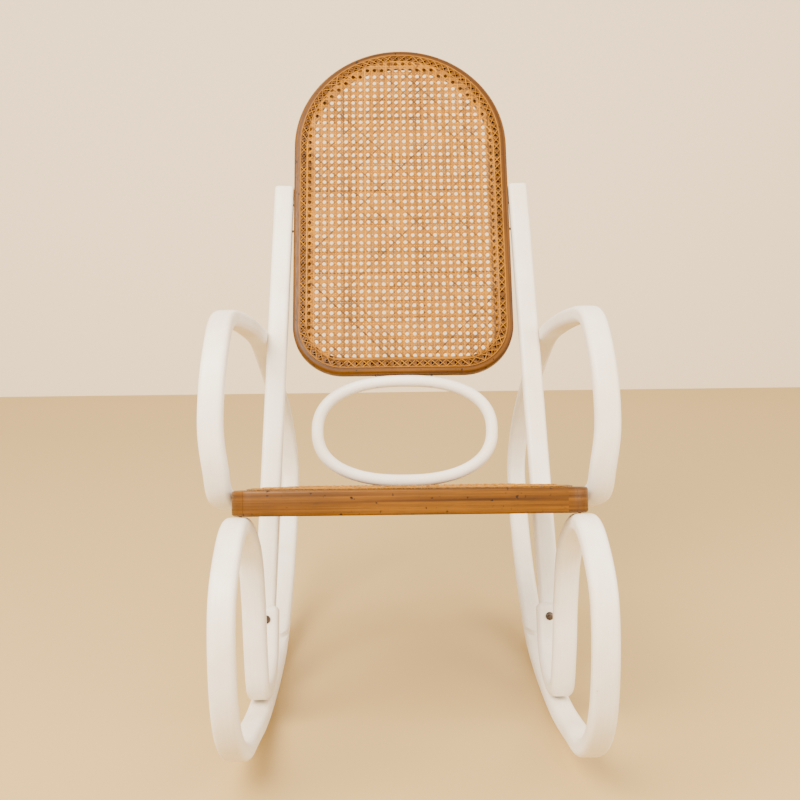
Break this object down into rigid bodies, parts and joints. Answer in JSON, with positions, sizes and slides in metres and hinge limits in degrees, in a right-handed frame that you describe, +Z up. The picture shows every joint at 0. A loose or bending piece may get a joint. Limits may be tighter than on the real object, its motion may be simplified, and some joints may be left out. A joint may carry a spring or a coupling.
{
  "type": "rocking chair",
  "caption": "Bentwood rocking chair with looped side frames, a caned seat and arched caned back, and an open oval ring between them.",
  "frame": {"origin": "centre of the footprint's bounding rectangle, on the floor", "axes": "+Z up; -Y the way the sitter faces; +X from side to side"},
  "size_m": [0.5586, 0.9006, 1.0443],
  "materials": {
    "white_paint": "brushed satin off-white paint over bent wood",
    "honey_wood": "honey-stained and varnished",
    "woven_cane": "woven natural cane, satin skin side out",
    "cane_binder": "binder cane, satin",
    "dark_steel": "darkened steel",
    "dowel_wood": "bare beech"
  },
  "bodies": {
    "root": {"arm_left": "white_paint", "arm_post_screw_left": "dark_steel", "arm_post_screw_right": "dark_steel", "arm_right": "white_paint", "arm_seat_screw_front_left": "dark_steel", "arm_seat_screw_front_right": "dark_steel", "arm_seat_screw_rear_left": "dark_steel", "arm_seat_screw_rear_right": "dark_steel", "back_cane": "woven_cane", "back_cane_binder": "cane_binder", "back_frame": "honey_wood", "back_post_left": "white_paint", "back_post_right": "white_paint", "lap_bolt_left": "dark_steel", "lap_bolt_right": "dark_steel", "lap_nut_left": "dark_steel", "lap_nut_right": "dark_steel", "loop_runner_screw_left": "dark_steel", "loop_runner_screw_right": "dark_steel", "loop_seat_screw_left": "dark_steel", "loop_seat_screw_right": "dark_steel", "lumbar_ring": "white_paint", "post_back_screw_lower_left": "dark_steel", "post_back_screw_lower_right": "dark_steel", "post_back_screw_upper_left": "dark_steel", "post_back_screw_upper_right": "dark_steel", "post_seat_screw_left": "dark_steel", "post_seat_screw_right": "dark_steel", "ring_back_screw_left": "dark_steel", "ring_back_screw_right": "dark_steel", "ring_seat_screw_left": "dark_steel", "ring_seat_screw_right": "dark_steel", "runner_left": "white_paint", "runner_right": "white_paint", "seat_cane": "woven_cane", "seat_cane_binder": "cane_binder", "seat_dowel_front_left": "dowel_wood", "seat_dowel_front_right": "dowel_wood", "seat_dowel_rear_left": "dowel_wood", "seat_dowel_rear_right": "dowel_wood", "seat_front_rail": "honey_wood", "seat_rear_rail": "honey_wood", "seat_side_rail_left": "honey_wood", "seat_side_rail_right": "honey_wood"}
  },
  "joints": []
}
